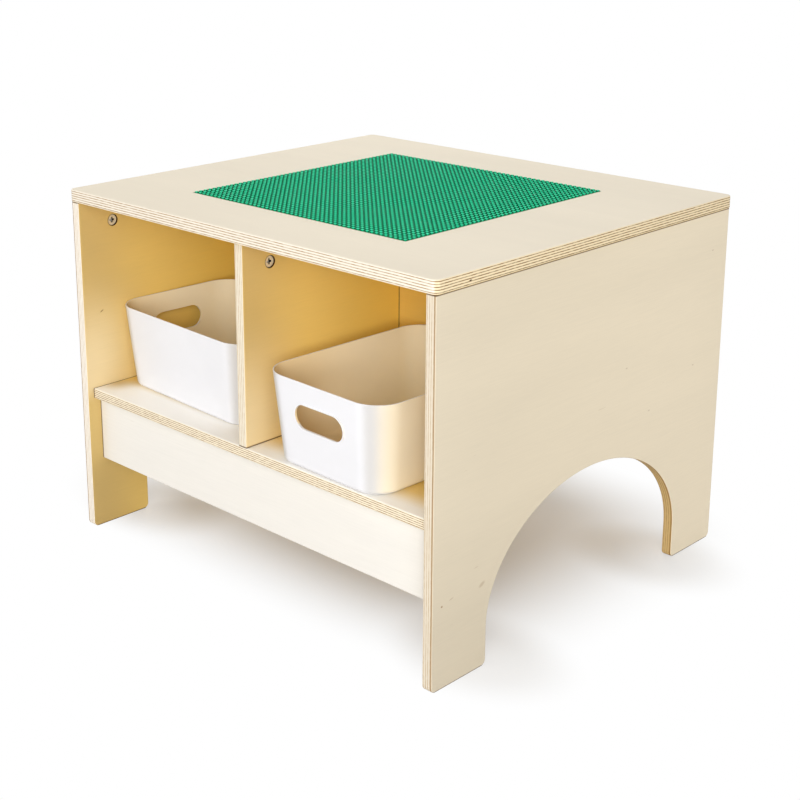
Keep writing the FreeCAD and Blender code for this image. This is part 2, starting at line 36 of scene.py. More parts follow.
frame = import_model()
scene = bpy.context.scene

AXIS_X, AXIS_Y, AXIS_Z = 0, 1, 2

# Colour sockets of Blender's Mix node: the factor, the two colours, and the result
MIX_INPUTS = (0, 6, 7)
MIX_RESULT = 2

# Where spots start to fade and round shades have faded, as shares of their reach
SPOT_CORE = 0.35
SHADE_RIM = 1.06


def srgb(red, green, blue):
    """Linear colour of an sRGB colour that is written from 0 to 255."""
    parts = []
    for part in (red / 255, green / 255, blue / 255):
        parts.append(part / 12.92 if part <= 0.04045 else ((part + 0.055) / 1.055) ** 2.4)
    return (*parts, 1.0)


def even(scale):
    """Scales of a pattern that is alike along every axis."""
    return [scale] * 3


def along(axis, long_scale, cross_scale):
    """Scales of a pattern that is drawn out along one axis."""
    scales = even(cross_scale)
    scales[axis] = long_scale
    return scales


class Finish:
    """A material, with short ways to add its nodes."""

    def __init__(self, name):
        self.material = bpy.data.materials.new(name)
        self.material.use_nodes = True
        self.nodes = self.material.node_tree.nodes
        self.links = self.material.node_tree.links
        self.surface = self.nodes["Principled BSDF"]
        place = self.nodes.new("ShaderNodeTexCoord")
        self.position = place.outputs["Object"]
        self.normal = place.outputs["Normal"]

    def put(self, socket, value):
        """Links a socket's value, or sets a plain one."""
        if isinstance(value, bpy.types.NodeSocket):
            self.links.new(value, socket)
        else:
            socket.default_value = value

    def set(self, **values):
        """Sets inputs of the surface, with _ for each space in their names."""
        for name, value in values.items():
            self.put(self.surface.inputs[name.replace("_", " ")], value)

    def math(self, operation, *values):
        """Result of an operation on numbers."""
        node = self.nodes.new("ShaderNodeMath")
        node.operation = operation
        for socket, value in zip(node.inputs, values):
            self.put(socket, value)
        return node.outputs[0]

    def vector(self, operation, *values):
        """Node of an operation on vectors."""
        node = self.nodes.new("ShaderNodeVectorMath")
        node.operation = operation
        for socket, value in zip(node.inputs, values):
            self.put(socket, value)
        return node

    def step(self, value, low, high, first=0.0, last=1.0):
        """Eases from the first number to the last as a value goes from low to high."""
        node = self.nodes.new("ShaderNodeMapRange")
        node.interpolation_type = "SMOOTHSTEP"
        for socket, setting in zip(node.inputs, (value, low, high, first, last)):
            self.put(socket, setting)
        return node.outputs[0]

    def mix(self, factor, first, second):
        """The first colour where a factor is 0, and the second where it is 1."""
        node = self.nodes.new("ShaderNodeMix")
        node.data_type = "RGBA"
        for number, value in zip(MIX_INPUTS, (factor, first, second)):
            self.put(node.inputs[number], value)
        return node.outputs[MIX_RESULT]

    def scaled(self, colour, factor):
        """A colour made lighter or darker by a factor."""
        node = self.vector("SCALE", colour if isinstance(colour, bpy.types.NodeSocket) else colour[:3])
        self.put(node.inputs["Scale"], factor)
        return node.outputs["Vector"]

    def axis(self, vector, number):
        """One axis of a vector."""
        node = self.nodes.new("ShaderNodeSeparateXYZ")
        self.put(node.inputs[0], vector)
        return node.outputs[number]

    def at(self, axis):
        """Place along an axis."""
        return self.axis(self.position, axis)

    def facing(self, axis):
        """How far the surface faces along an axis, from -1 to 1."""
        return self.axis(self.normal, axis)

    def size(self, number):
        """A number without its sign."""
        return self.math("ABSOLUTE", number)

    def gap(self, number, place):
        """Distance of a number from a place."""
        return self.size(self.math("SUBTRACT", number, place))

    def mapped(self, kind, **settings):
        """Position after a Mapping node with these settings."""
        node = self.nodes.new("ShaderNodeMapping")
        node.vector_type = kind
        self.put(node.inputs["Vector"], self.position)
        for name, setting in settings.items():
            self.put(node.inputs[name], setting)
        return node.outputs[0]

    def noise(self, scales, seed, detail=2.0, roughness=0.5):
        """Noise with so many swings to the metre along each axis."""
        node = self.nodes.new("ShaderNodeTexNoise")
        place = self.mapped("POINT", Location=(seed, 2 * seed, 3 * seed), Scale=scales)
        for name, value in (("Vector", place), ("Scale", 1.0), ("Detail", detail), ("Roughness", roughness)):
            self.put(node.inputs[name], value)
        return node.outputs[0]

    def swung(self, value, noise, amount):
        """A value that noise moves up and down within an amount."""
        return self.math("MULTIPLY_ADD", self.math("SUBTRACT", noise, 0.5), amount, value)

    def spot(self, middle, half_sizes, turn=(0.0, 0.0, 0.0)):
        """1 in the middle of an ellipsoid, and 0 outside it."""
        place = self.mapped("TEXTURE", Location=middle, Rotation=turn, Scale=half_sizes)
        return self.step(self.vector("LENGTH", place).outputs["Value"], SPOT_CORE, 1.0, 1.0, 0.0)

    def near(self, first, first_place, second, second_place, reach):
        """1 up to a reach from a line that crosses two axes at these places, and 0 further out."""
        squares = [self.math("POWER", self.math("SUBTRACT", value, place), 2.0)
                   for value, place in ((first, first_place), (second, second_place))]
        off = self.math("SQRT", self.math("ADD", *squares))
        return self.step(off, reach, SHADE_RIM * reach, 1.0, 0.0)

    def bump(self, height, distance, strength):
        """Raises the surface by a height from 0 to 1 over a distance."""
        node = self.nodes.new("ShaderNodeBump")
        for name, value in (("Height", height), ("Distance", distance), ("Strength", strength)):
            self.put(node.inputs[name], value)
        self.set(Normal=node.outputs[0])

    def give_to(self, obj):
        """Makes this the only material of an object."""
        obj.data.materials.clear()
        obj.data.materials.append(self.material)


# Plywood: veneers, then the light and dark plies of each kind of edge

TOP_WOOD = srgb(240, 229, 208)
SIDE_WOOD = srgb(240, 228, 204)
# Paler copy of the veneer: painted light on the aprons
RAIL_WOOD_LIT = srgb(243, 240, 234)
# Gold tones: painted shade and warm bounce light inside the table, deepest in the middle, darker at the
# front, paler low at the front
GOLD_SHADE_WOOD = srgb(246, 211, 121)
FRONT_GOLD_SHADE = srgb(214, 184, 118)
LOW_GOLD_BOUNCE = srgb(232, 209, 162)
DEEP_GOLD_SHADE = srgb(255, 216, 104)
SPINE_GOLD_SHADE = srgb(246, 205, 106)
# Near-white copy of the veneer: painted light where light falls on the shelf
SHELF_WOOD_LIT = srgb(253, 250, 243)
LONG_GRAIN = (srgb(247, 240, 226), srgb(180, 148, 108))
END_GRAIN = (srgb(245, 229, 194), srgb(138, 100, 46))
SHELF_EDGE = (srgb(250, 240, 216), srgb(148, 106, 58))
PANEL_EDGE = (srgb(240, 232, 214), srgb(212, 190, 158))
# Lighter and darker copies of the panels' edge plies: painted light on the left panel's edges, painted shade
# on the right panel's
LEFT_EDGE_LIT = (srgb(252, 246, 236), srgb(226, 208, 182))
RIGHT_EDGE_SHADED = (srgb(230, 220, 202), srgb(202, 180, 148))
# Gold plies: painted shade on the edges inside the table, round the arch and on the spine
GOLD_SHADE_EDGE = (srgb(212, 184, 130), srgb(174, 138, 82))

# Patterns of the wood: swings to the metre along and across them
FIBRES = (22, 900)
FIGURE = (1.6, 11)
FLECKS = (45, 520)
PORES = (320, 120)
CLOUDS = 2.2
WAVER = 9
SEED_STEP = 3.7

# How much each pattern changes the brightness of the veneer
FIGURE_SHADE = 0.12
FIBRE_SHADE = 0.09
CLOUD_SHADE = 0.06

# Dark flecks: the noise that makes one, and its strength
FLECK = srgb(150, 112, 66)
FLECK_NOISE = (0.79, 0.86)
FLECK_SHADE = 0.22

# Dark plies: how many plies their lines waver over, and in a pair of plies the middle of the
# dark one and where it fades. Pores with this noise change its strength
PLY_WAVER = 0.5
DARK_PLY = 0.75
DARK_FADE = (0.13, 0.22)
PORE_NOISE = (0.3, 0.62)
PORE_SHADES = (0.5, 1.0)

# Parts of the normal at which a surface turns to a side, and at which an edge becomes a face
SIDE_TURN = (0.4, 0.7)
FACE_TURN = (0.5, 0.8)

# Lacquer: roughness over the fibres' noise, gloss, and the depth and strength of the fibres
FIBRE_NOISE = (0.2, 0.8)
WOOD_ROUGHNESS = (0.5, 0.64)
WOOD_GLOSS = 0.2
FIBRE_BUMP = (0.00012, 0.25)

# Painted shade line where a board butts against another, or stands on the floor: its width, the share of it
# that is darkest, and its strength
SEAM_SHADOW = srgb(84, 54, 14)
SEAM_WIDTH = 0.0024
SEAM_CORE = 0.3
SEAM_SHADE = 0.95

# Where the painted gold shade changes: from the middle outward along Y, and upward along Z
GOLD_DEEP = (0.0, 0.2)
GOLD_FRONT = (0.17, 0.29)
GOLD_LOW = (0.25, 0.4)
GOLD_SHELF = (0.19, 0.22)
GOLD_FOOT = (0.03, 0.22)
GOLD_FOOT_SHADES = (0.84, 1.0)

# Painted shade on the walls of the bores of the cam locks that hold the top, in the panels and dividers, in
# a colour that the knot in the top shares: |Y|, Z and the radius, which the shade passes by a little
BORE_SHADE_AND_KNOT = srgb(70, 46, 18)
CAM_BORE = (0.2453, 0.456, 0.0081)
BORE_REACH = 1.03


class Plywood(Finish):
    """Birch plywood of one board: veneer on its faces, and on its edges the plies that show there."""

    def __init__(self, node, stack, grain, plies):
        super().__init__(f"plywood_{node}")
        self.node = node
        self.low, self.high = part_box(node)
        self.seed = SEED_STEP * len(bpy.data.materials)
        self.stack = stack
        self.fibres = self.noise(along(grain, *FIBRES), self.seed + 1, detail=3.0, roughness=0.6)
        self.figure = self.noise(along(grain, *FIGURE), self.seed, detail=4.0, roughness=0.55)
        self.clouds = self.noise(even(CLOUDS), self.seed + 2)
        self.flecks = self.step(self.noise(along(grain, *FLECKS), self.seed + 3, detail=1.0), *FLECK_NOISE)
        self.dark = self.dark_plies(plies)
        self.face = None
        self.edge = None

    def dark_plies(self, plies):
        """1 on every second ply, broken up by pores."""
        low, high = self.low[self.stack], self.high[self.stack]
        ply = self.math("MULTIPLY", self.math("SUBTRACT", self.at(self.stack), low), plies / (high - low))
        ply = self.swung(ply, self.noise(even(WAVER), self.seed + 4), PLY_WAVER)
        pair = self.math("FRACT", self.math("MULTIPLY", ply, 0.5))
        lines = self.step(self.gap(pair, DARK_PLY), *DARK_FADE, 1.0, 0.0)
        pores = self.noise(along(self.stack, *PORES), self.seed + 5)
        return self.math("MULTIPLY", lines, self.step(pores, *PORE_NOISE, *PORE_SHADES))

    def toward(self, axis, side):
        """1 where the surface faces a side of an axis, or either side if that is 0."""
        facing = self.facing(axis)
        turned = self.size(facing) if side == 0 else self.math("MULTIPLY", facing, side)
        return self.step(turned, *SIDE_TURN)

    def veneer(self, colour, where=None):
        """Veneer with soft figure, fine fibres and a few dark flecks, all over or where a factor says."""
        shade = self.swung(1.0, self.figure, FIGURE_SHADE)
        shade = self.swung(shade, self.fibres, FIBRE_SHADE)
        shade = self.swung(shade, self.clouds, CLOUD_SHADE)
        flecks = self.math("MULTIPLY", self.flecks, FLECK_SHADE)
        sheet = self.mix(flecks, self.scaled(colour, shade), FLECK)
        self.face = sheet if where is None else self.mix(where, self.face, sheet)

    def plies(self, colours, where=None):
        """Light and dark plies on the edges, all over or where a factor says."""
        lines = self.mix(self.dark, *colours)
        self.edge = lines if where is None else self.mix(where, self.edge, lines)

    def marks(self, across, places):
        """Small natural marks on the face at this place along X."""
        for y, z, half_length, half_width, tilt, strength in places:
            spot = self.spot((across, y, z), (MARK_DEPTH, half_length, half_width),
                             (math.radians(tilt), 0.0, 0.0))
            self.face = self.mix(self.math("MULTIPLY", spot, strength), self.face, FLECK)

    def gold(self, where=None):
        """Gold veneer of a board inside the table, in painted shade and warm bounce light: deepest in the
        middle, darker at the front with a paler band low there, and darker toward the floor.
        """
        off_middle = self.size(self.at(AXIS_Y))
        height = self.at(AXIS_Z)
        front = self.step(off_middle, *GOLD_FRONT)
        colour = self.mix(front, GOLD_SHADE_WOOD, FRONT_GOLD_SHADE)
        low = self.math("MULTIPLY", self.step(height, *GOLD_LOW, 1.0, 0.0), self.step(height, *GOLD_SHELF))
        colour = self.mix(self.math("MULTIPLY", front, low), colour, LOW_GOLD_BOUNCE)
        colour = self.mix(self.step(off_middle, *GOLD_DEEP, 1.0, 0.0), colour, DEEP_GOLD_SHADE)
        self.veneer(self.scaled(colour, self.step(height, *GOLD_FOOT, *GOLD_FOOT_SHADES)), where)

    def bores(self, inside):
        """Painted shade on the walls of the bores that hold the cam locks, where a factor says that they
        are.
        """
        y, z, radius = CAM_BORE
        shade = self.near(self.size(self.at(AXIS_Y)), y, self.at(AXIS_Z), z, BORE_REACH * radius)
        shade = self.math("MULTIPLY", shade, inside)
        self.face = self.mix(shade, self.face, BORE_SHADE_AND_KNOT)
        self.edge = self.mix(shade, self.edge, BORE_SHADE_AND_KNOT)

    def done(self, seams=()):
        """Joins faces and edges, with a painted shade line at the ends that butt against another board or
        the floor.
        """
        colour = self.mix(self.step(self.size(self.facing(self.stack)), *FACE_TURN), self.edge, self.face)
        for axis, place in seams:
            off_seam = self.gap(self.at(axis), place)
            line = self.step(off_seam, SEAM_CORE * SEAM_WIDTH, SEAM_WIDTH, SEAM_SHADE, 0.0)
            colour = self.mix(line, colour, SEAM_SHADOW)
        self.set(Base_Color=colour, Roughness=self.step(self.fibres, *FIBRE_NOISE, *WOOD_ROUGHNESS),
                 Specular_IOR_Level=WOOD_GLOSS)
        self.bump(self.fibres, *FIBRE_BUMP)
        self.give_to(frame["nodes"][self.node])


# A small knot in the right edge of the top: its place along Y and Z, and half sizes
TOP_KNOT = (-0.2472, 0.4968)
KNOT_SIZE = (0.0034, 0.0012)

# Half depth of knots and marks in the wood
MARK_DEPTH = 0.002


def top_board():
    """Top: pale above, gold painted shade below, and strong end grain at its two sides."""
    wood = Plywood("table_top", AXIS_Z, AXIS_X, plies=11)
    wood.veneer(TOP_WOOD)
    wood.veneer(GOLD_SHADE_WOOD, wood.toward(AXIS_Z, -1))
    wood.plies(LONG_GRAIN)
    wood.plies(END_GRAIN, wood.toward(AXIS_X, 0))
    knot = wood.spot((wood.high[AXIS_X], *TOP_KNOT), (MARK_DEPTH, *KNOT_SIZE))
    wood.edge = wood.mix(knot, wood.edge, BORE_SHADE_AND_KNOT)
    wood.done()


# Natural marks, from the photograph, on the right panel's outer face and on the left panel's
# inner one: the place along Y and Z, the half length and half width, the tilt in degrees and
# the strength
RIGHT_PANEL_MARKS = ((-0.2855, 0.1083, 0.0022, 0.0018, 0.0, 0.8),
                     (-0.2685, 0.1124, 0.0055, 0.0012, 12.0, 0.3),
                     (-0.2130, 0.1110, 0.0080, 0.0036, 24.0, 0.3),
                     (0.0720, 0.3140, 0.0030, 0.0014, 0.0, 0.3),
                     (0.1290, 0.2410, 0.0030, 0.0014, 0.0, 0.3),
                     (0.2320, 0.2800, 0.0030, 0.0014, 0.0, 0.3),
                     (0.2660, 0.4365, 0.0030, 0.0014, 0.0, 0.3))
LEFT_PANEL_MARKS = ((-0.2715, 0.3265, 0.0044, 0.0013, 31.0, 0.9),)

# Painted shade: how much darker the panels' outer faces are toward the front, and more so up to a height
PAINTED_FRONT_SHADE = 0.13
PAINTED_LOW_SHADE = 0.09
PAINTED_LOW_SHADE_HEIGHT = 0.3

# Share of the panels' half depth at which the arch's edge in painted gold shade gives way to the outer edges
ARCH_END = (0.7, 0.8)

# Dark ply just under the outer veneer of the side panels: its depth and half width, the share
# of it that is darkest, and its strength
RIM = srgb(150, 110, 56)
RIM_DEPTH = 0.0014
RIM_WIDTH = 0.0012
RIM_CORE = 0.4
RIM_SHADE = 0.8


def side_boards():
    """Side panels: pale outside, darker toward the front and low down in painted shade, and gold painted
    shade inside and round the arch.
    """
    for node, out, edge_tones, marks in (("side_panel_left", -1, LEFT_EDGE_LIT, LEFT_PANEL_MARKS),
                                         ("side_panel_right", 1, RIGHT_EDGE_SHADED, RIGHT_PANEL_MARKS)):
        wood = Plywood(node, AXIS_X, AXIS_Y, plies=9)
        # Painted shade on the outer face: darker toward the front, and more so low down
        tone = wood.step(wood.at(AXIS_Z), 0.0, PAINTED_LOW_SHADE_HEIGHT, PAINTED_FRONT_SHADE + PAINTED_LOW_SHADE, PAINTED_FRONT_SHADE)
        front = wood.step(wood.at(AXIS_Y), wood.low[AXIS_Y], wood.high[AXIS_Y], 1.0, 0.0)
        wood.veneer(wood.scaled(SIDE_WOOD, wood.math("SUBTRACT", 1.0, wood.math("MULTIPLY", tone, front))))
        wood.gold(wood.toward(AXIS_X, -out))
        wood.marks(wood.high[AXIS_X], marks)
        wood.plies(edge_tones)
        arch_end = [share * wood.high[AXIS_Y] for share in ARCH_END]
        wood.plies(GOLD_SHADE_EDGE, wood.step(wood.size(wood.at(AXIS_Y)), *arch_end, 1.0, 0.0))
        across = wood.size(wood.at(AXIS_X))
        outer = max(abs(wood.low[AXIS_X]), abs(wood.high[AXIS_X]))
        off_rim = wood.gap(across, outer - RIM_DEPTH)
        rim = wood.step(off_rim, RIM_CORE * RIM_WIDTH, RIM_WIDTH, RIM_SHADE, 0.0)
        wood.edge = wood.mix(rim, wood.edge, RIM)
        wood.bores(wood.math("LESS_THAN", across, outer - MARK_DEPTH))
        wood.done([(AXIS_Z, wood.low[AXIS_Z]), (AXIS_Z, wood.high[AXIS_Z])])


# Painted gold shade on the shelf, as shares of its half depth: behind the bins, in a strip in front of that,
# and in the left corner, which also ends at a share of the half width
SHELF_DEEP = (0.74, 0.87)
SHELF_STRIP = (0.82, 0.96)
SHELF_CORNER = (0.86, 0.99)
CORNER_END = 0.86
CORNER_SHADE = 0.9

# Parts of that strip along X: to the right of the divider, and toward the right panel
BESIDE_DIVIDER = (0.02, 0.09)
DIVIDER_SHADE = 0.7
BESIDE_PANEL = (0.1, 0.26)
PANEL_SHADE = 0.85


def shelf_board():
    """Shelf: almost white in painted light where light falls on it, and gold painted shade further in."""
    wood = Plywood("shelf", AXIS_Z, AXIS_X, plies=11)
    across = wood.at(AXIS_X)
    off_middle = wood.size(wood.at(AXIS_Y))
    deep, strip, corner = [wood.step(off_middle, *[share * wood.high[AXIS_Y] for share in shares], 1.0, 0.0)
                           for shares in (SHELF_DEEP, SHELF_STRIP, SHELF_CORNER)]
    left = wood.step(across, wood.low[AXIS_X], CORNER_END * wood.low[AXIS_X], CORNER_SHADE, 0.0)
    beside = wood.math("MULTIPLY", wood.math("GREATER_THAN", across, 0.0),
                       wood.step(across, *BESIDE_DIVIDER, DIVIDER_SHADE, 0.0))
    beside = wood.math("MAXIMUM", beside, wood.step(across, *BESIDE_PANEL, 0.0, PANEL_SHADE))
    wood.veneer(SHELF_WOOD_LIT)
    wood.veneer(FRONT_GOLD_SHADE, wood.math("MULTIPLY", left, corner))
    wood.veneer(GOLD_SHADE_WOOD, wood.math("MULTIPLY", strip, beside))
    wood.veneer(GOLD_SHADE_WOOD, deep)
    wood.plies(SHELF_EDGE)
    wood.done([(AXIS_X, wood.low[AXIS_X]), (AXIS_X, wood.high[AXIS_X])])


def inner_boards():
    """Spine and dividers in gold painted shade, aprons in a paler painted light. A divider has bores on one
    side, and meets the spine at one end.
    """
    wood = Plywood("spine_panel", AXIS_Y, AXIS_X, plies=5)
    wood.veneer(SPINE_GOLD_SHADE)
    wood.plies(GOLD_SHADE_EDGE)
    wood.done()
    for node, bored_side, inner_end in (("divider_front", 1, 1), ("divider_rear", -1, 0)):
        wood = Plywood(node, AXIS_X, AXIS_Y, plies=9)
        wood.gold()
        wood.plies(PANEL_EDGE)
        across = wood.math("MULTIPLY", wood.at(AXIS_X), bored_side)
        wood.bores(wood.math("GREATER_THAN", across, 0.0))
        ends = (wood.low[AXIS_Y], wood.high[AXIS_Y])
        wood.done([(AXIS_Z, wood.low[AXIS_Z]), (AXIS_Y, ends[inner_end])])
    for node in ("front_apron", "rear_apron"):
        wood = Plywood(node, AXIS_Y, AXIS_X, plies=9)
        wood.veneer(RAIL_WOOD_LIT)
        wood.plies(PANEL_EDGE)
        wood.done([(AXIS_X, wood.low[AXIS_X]), (AXIS_X, wood.high[AXIS_X]), (AXIS_Z, wood.high[AXIS_Z])])


# Plastics. Moulded ones vary a little in tone and roughness, and have a fine grain
TONE_SCALE = 14
TONE_NOISE = (0.3, 0.7)
TONE_SHADES = (0.97, 1.0)
ROUGH_NOISE = (0.25, 0.75)
ROUGH_RISE = 0.08
GRAIN_BUMP = (0.00004, 0.2)


def moulded(finish, colour, roughness, gloss, grain_scale):
    """Sets the slight changes of tone and the fine grain of a moulded plastic."""
    tone = finish.noise(even(TONE_SCALE), 1.0, detail=3.0)
    grain = finish.noise(even(grain_scale), 2.0)
    finish.set(Base_Color=finish.scaled(colour, finish.step(tone, *TONE_NOISE, *TONE_SHADES)),
               Roughness=finish.step(tone, *ROUGH_NOISE, roughness, roughness + ROUGH_RISE),
               Specular_IOR_Level=gloss)
    finish.bump(grain, *GRAIN_BUMP)


# Bins: the outside from its white front round the corners, in painted shade, to its sides, in painted warm
# bounce light, by the normal's part along X
BIN_WHITE = srgb(241, 242, 247)
BIN_CORNER_SHADE = srgb(215, 214, 214)
BIN_SIDES_WARM_BOUNCE = srgb(246, 235, 210)
BIN_CORNER = (0.1, 0.5, 1.0)

# Painted warm bounce light and shade inside, which deepens outward along |Y|. A surface is inside where its
# normal times the way to the bin's middle passes these lengths, and it isn't level, apart from the floor
BIN_INSIDE_SHADE = (srgb(255, 243, 212), srgb(240, 217, 171))
BIN_FRONT = (0.1, 0.27)
BIN_INWARD = (0.01, 0.03)
BIN_LEVEL = (0.5, 0.8)
BIN_FLOOR = 0.03

BIN_PLASTIC = {"roughness": 0.32, "gloss": 0.4, "grain_scale": 1500}


def bin_plastic(node):
    """White plastic, with painted warm shade inside the bin, where the normal points at the bin's middle."""
    finish = Finish(f"plastic_{node}")
    low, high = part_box(node)
    middle = (Vector(low) + Vector(high)) / 2
    middle.z = high[AXIS_Z]
    inward = finish.vector("SUBTRACT", middle, finish.position).outputs["Vector"]
    inside = finish.step(finish.vector("DOT_PRODUCT", inward, finish.normal).outputs["Value"], *BIN_INWARD)
    level = finish.step(finish.size(finish.facing(AXIS_Z)), *BIN_LEVEL)
    above = finish.math("GREATER_THAN", finish.at(AXIS_Z), low[AXIS_Z] + BIN_FLOOR)
    lip = finish.math("MULTIPLY", level, above)
    inside = finish.math("SUBTRACT", inside, finish.math("MULTIPLY", inside, lip))
    across = finish.size(finish.facing(AXIS_X))
    outside = finish.mix(finish.step(across, *BIN_CORNER[:2]), BIN_WHITE, BIN_CORNER_SHADE)
    outside = finish.mix(finish.step(across, *BIN_CORNER[1:]), outside, BIN_SIDES_WARM_BOUNCE)
    inner_shade = finish.mix(finish.step(finish.size(finish.at(AXIS_Y)), *BIN_FRONT), *BIN_INSIDE_SHADE)
    moulded(finish, finish.mix(inside, outside, inner_shade), **BIN_PLASTIC)
    finish.give_to(frame["nodes"][node])


# Building plate, its green painted with light and shade: its deck in painted shade, the studs' tops above a
# height in painted highlight, and the studs' flanks in painted shade, which turn to painted highlight where
# the normal's parts along X and -Y, or -X and Y, add up to these numbers
PLATE_DECK_SHADE = srgb(0, 132, 84)
PLATE_TOPS_HIGHLIGHT = srgb(62, 236, 180)
PLATE_FLANKS_SHADE_AND_HIGHLIGHT = (srgb(0, 40, 20), srgb(24, 178, 122))
PLATE_CORNER = (0.95, 1.4)
PLATE_LEVEL = (0.3, 0.8)
STUD_MIDDLE = 0.5084
PLATE_PLASTIC = {"roughness": 0.34, "gloss": 0.01, "grain_scale": 2200}


def plate_plastic():
    """Green plastic: painted highlight on the stud tops, painted shade on the deck, and flanks in painted
    shade with painted highlight toward two corners.
    """
    finish = Finish("plastic_plate")
    level = finish.step(finish.size(finish.facing(AXIS_Z)), *PLATE_LEVEL)
    flat = finish.mix(finish.math("GREATER_THAN", finish.at(AXIS_Z), STUD_MIDDLE), PLATE_DECK_SHADE, PLATE_TOPS_HIGHLIGHT)
    corner = finish.size(finish.math("SUBTRACT", finish.facing(AXIS_X), finish.facing(AXIS_Y)))
    flank = finish.mix(finish.step(corner, *PLATE_CORNER), *PLATE_FLANKS_SHADE_AND_HIGHLIGHT)
    moulded(finish, finish.mix(level, flank, flat), **PLATE_PLASTIC)
    finish.give_to(frame["nodes"]["stud_plate"])


# Metal: swings of its clouds to the metre, what they change, and how metallic it is
METAL_CLOUDS = 300
METAL_NOISE = (0.3, 0.7)
METAL_SHADES = (0.85, 1.0)
METAL_ROUGH_NOISE = (0.2, 0.8)
METAL_ROUGH_RISE = 0.15
METALLIC = 0.2
BOLT_STEEL = (srgb(200, 200, 196), 0.35)
NICKEL = (srgb(252, 238, 206), 0.3)

# Painted shade in the slots of the cam locks: they turn dark between two depths behind a face, and stay so
# down to a third
SLOT_SHADE = srgb(24, 18, 10)
SLOT_FADE = (0.0002, 0.0008)
SLOT_REACH = 0.02

# Faces of the cam locks, along the axis that each kind looks along: a face's distance from the
# table's middle, and the side of it that is solid
CAM_FACES = {"top_cam_locks": (AXIS_X, ((0.3274, 1), (0.0055, -1))),
             "shelf_cam_locks": (AXIS_Z, ((0.2014, 1),)),
             "apron_cam_locks": (AXIS_Y, ((0.2683, 1),))}


def metal(name, colour, roughness, axis=AXIS_X, faces=()):
    """Plated metal with a slightly cloudy surface, with painted shade in the slots behind faces along an
    axis.
    """
    finish = Finish(name)
    clouds = finish.noise(even(METAL_CLOUDS), 4.0, detail=3.0)
    tone = finish.scaled(colour, finish.step(clouds, *METAL_NOISE, *METAL_SHADES))
    off_middle = finish.size(finish.at(axis))
    for face, side in faces:
        depth = finish.math("MULTIPLY", finish.math("SUBTRACT", off_middle, face), side)
        slot = finish.math("MULTIPLY", finish.step(depth, *SLOT_FADE),
                           finish.math("LESS_THAN", depth, SLOT_REACH))
        tone = finish.mix(slot, tone, SLOT_SHADE)
    rough = finish.step(clouds, *METAL_ROUGH_NOISE, roughness, roughness + METAL_ROUGH_RISE)
    finish.set(Base_Color=tone, Metallic=METALLIC, Roughness=rough)
    return finish


# Dowels: swings of their rays along and across Z, and the two tones of beech
RAYS = (160, 700)
RAY_NOISE = (0.3, 0.7)
BEECH = (srgb(205, 165, 118), srgb(222, 190, 148))
BEECH_ROUGHNESS = 0.6


def beech(name):
    """Bare beech, with short rays along Z."""
    finish = Finish(name)
    rays = finish.noise(along(AXIS_Z, *RAYS), 5.0, detail=3.0)
    finish.set(Base_Color=finish.mix(finish.step(rays, *RAY_NOISE), *BEECH), Roughness=BEECH_ROUGHNESS)
    return finish


def small_parts():
    """Finishes of everything that isn't plywood."""
    for node in ("bin_left", "bin_right"):
        bin_plastic(node)
    plate_plastic()
    steel = metal("bolt_steel", *BOLT_STEEL)
    wood = beech("dowel_beech")
    for name, obj in frame["nodes"].items():
        if name in CAM_FACES:
            metal(f"nickel_{name}", *NICKEL, *CAM_FACES[name]).give_to(obj)
        elif name.endswith("cam_bolts"):
            steel.give_to(obj)
        elif name.endswith("dowels"):
            wood.give_to(obj)


# Studio

WHITE = (1.0, 1.0, 1.0, 1.0)
WORLD_LIGHT = 0.36

FLOOR_RADIUS = 30.0
# Warm grey, which paints warm bounce light into the floor's shadow
FLOOR_COLOUR = (0.69, 0.65, 0.59, 1.0)
FLOOR_ROUGHNESS = 0.9

# Shadow on the floor: its middle and reach along X and Y, the power that squares its outline,
# the shares of its reach between which it fades, and how white it is at its deepest
SHADOW_MIDDLE = (-0.08, 0.065)
SHADOW_REACH = (0.42, 0.305)
SHADOW_POWER = 4.0
SHADOW_SHARES = (0.55, 1.2)
SHADOW_LIFT = 0.16

# Deeper shadow at each foot: its middle as |X| and |Y|, its reach, where it starts to fade as
# a share of that, and its strength
FOOT_MIDDLE = (0.32, 0.19)
FOOT_REACH = (0.15, 0.11)
FOOT_CORE = 0.35
FOOT_SHADE = 0.27


def sees_white(nodes, links):
    """1 for rays of cameras, gloss and glass, which see plain white round the table."""
    rays = nodes.new("ShaderNodeLightPath")
    seen = rays.outputs["Is Camera Ray"]
    for kind in ("Is Glossy Ray", "Is Transmission Ray"):
        either = nodes.new("ShaderNodeMath")
        either.operation = "MAXIMUM"
        links.new(seen, either.inputs[0])
        links.new(rays.outputs[kind], either.inputs[1])
        seen = either.outputs[0]
    return seen


